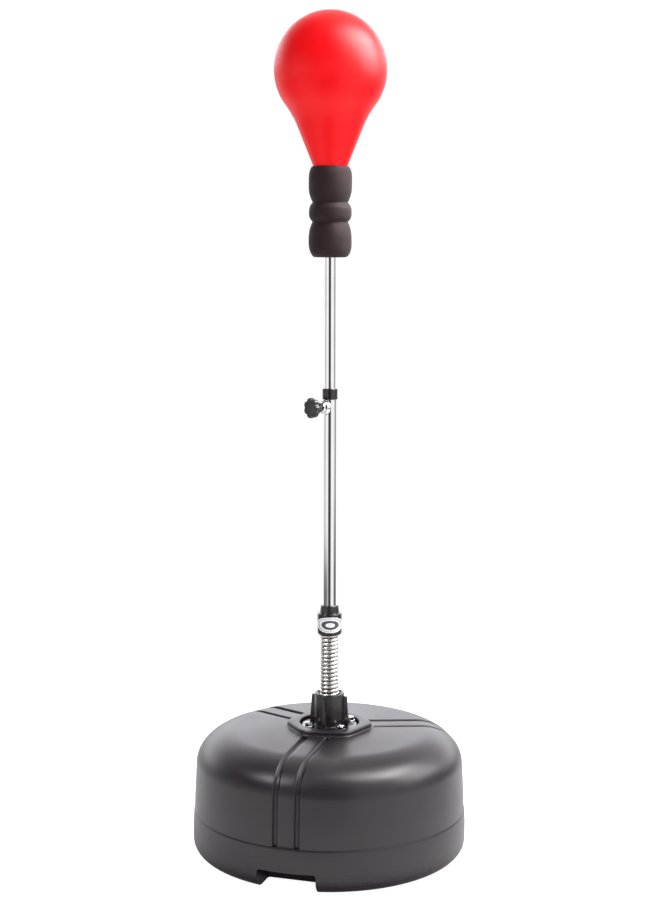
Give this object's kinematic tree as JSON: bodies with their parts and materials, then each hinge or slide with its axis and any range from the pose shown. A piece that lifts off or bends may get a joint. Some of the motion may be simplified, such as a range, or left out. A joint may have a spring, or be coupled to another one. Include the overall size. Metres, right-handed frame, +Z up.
{
  "type": "spring-mounted punch ball stand",
  "caption": "Free-standing punch ball on a telescopic tube, carried by a coil spring on a round weighted base, with a foam sleeve under the ball.",
  "frame": {"origin": "centre of the base where it meets the floor", "axes": "+Z up along the mast; the base's three bands are 120 degrees apart, the front one towards -Y, with a hand pocket under each"},
  "size_m": [0.457, 0.457, 1.3823],
  "materials": {
    "moulded_shell": "satin moulded polyethylene with a fine texture",
    "gloss_black": "gloss moulded nylon",
    "black_rubber": "matt rubber",
    "bright_zinc": "bright zinc plating",
    "brass": "machined",
    "spring_steel": "bright plated spring wire",
    "plain_steel": "turned steel",
    "badge_white": "gloss, plain",
    "chrome": "polished chrome plate",
    "nylon": "natural nylon",
    "foam": null,
    "ball_skin": "satin red vinyl"
  },
  "bodies": {
    "base": {"base_shell": "moulded_shell", "spring_socket": "gloss_black", "socket_bolt_1": "bright_zinc", "socket_bolt_2": "bright_zinc", "socket_bolt_3": "bright_zinc", "socket_bolt_4": "bright_zinc", "socket_washer_1": "bright_zinc", "socket_washer_2": "bright_zinc", "socket_washer_3": "bright_zinc", "socket_washer_4": "bright_zinc", "socket_insert_1": "brass", "socket_insert_2": "brass", "socket_insert_3": "brass", "socket_insert_4": "brass", "lower_spring_plug": "plain_steel", "anchor_screw": "plain_steel"},
    "spring_middle": {"spring": "spring_steel"},
    "lower_mast": {"upper_spring_plug": "plain_steel", "coupler": "gloss_black", "coupler_screw": "plain_steel", "coupler_badge": "badge_white", "lower_tube": "chrome", "tube_collar": "gloss_black", "clamp_boss": "chrome"},
    "pad": {"clamp_pad": "nylon"},
    "knob": {"clamp_knob": "gloss_black", "clamp_stud": "bright_zinc"},
    "guide": {"tube_end_plug": "gloss_black"},
    "upper_mast": {"upper_tube": "chrome", "foam_sleeve": "foam", "ball": "ball_skin", "ball_valve": "black_rubber", "ball_mount": "nylon", "neck_clamp": "plain_steel"},
    "port_seal": {"filler_seal": "black_rubber"},
    "port_cap": {"filler_cap": "gloss_black"}
  },
  "joints": [
    {"name": "spring_bend_fore_aft", "type": "hinge", "parent": "base", "child": "spring_middle", "pos_m": [0, 0, 0.2935], "axis": [1, 0, 0], "range_deg": [-35, 35], "stiffness_Nm_per_rad": 80, "deforming": ["spring"]},
    {"name": "spring_bend_sideways", "type": "hinge", "parent": "spring_middle", "child": "lower_mast", "pos_m": [0, 0, 0.341], "axis": [0, 1, 0], "range_deg": [-35, 35], "stiffness_Nm_per_rad": 80, "deforming": ["spring"]},
    {"name": "height_slide", "type": "slide", "parent": "lower_mast", "child": "guide", "axis": [0, 0, 1], "range_m": [-0.115, 0.15]},
    {"name": "mast_swivel", "type": "hinge", "parent": "guide", "child": "upper_mast", "pos_m": [0, 0, 0.555], "axis": [0, 0, 1], "continuous": true},
    {"name": "pad_travel", "type": "slide", "parent": "lower_mast", "child": "pad", "axis": [-0.5621, -0.8271, 0], "range_m": [0, 0.0025]},
    {"name": "knob_turn", "type": "hinge", "parent": "pad", "child": "knob", "pos_m": [0, 0, 0.7469], "axis": [-0.5621, -0.8271, 0], "range_deg": [0, 720]},
    {"name": "port_seal_travel", "type": "slide", "parent": "base", "child": "port_seal", "axis": [0, 1, 0], "range_m": [0, 0.009]},
    {"name": "port_cap_turn", "type": "hinge", "parent": "port_seal", "child": "port_cap", "pos_m": [0, 0, 0.13], "axis": [0, 1, 0], "range_deg": [0, 1080]}
  ],
  "couplings": [
    {"joint": "knob_turn", "follows": "pad_travel", "rad_per_m": 5026.5},
    {"joint": "port_cap_turn", "follows": "port_seal_travel", "rad_per_m": 2094.4}
  ]
}
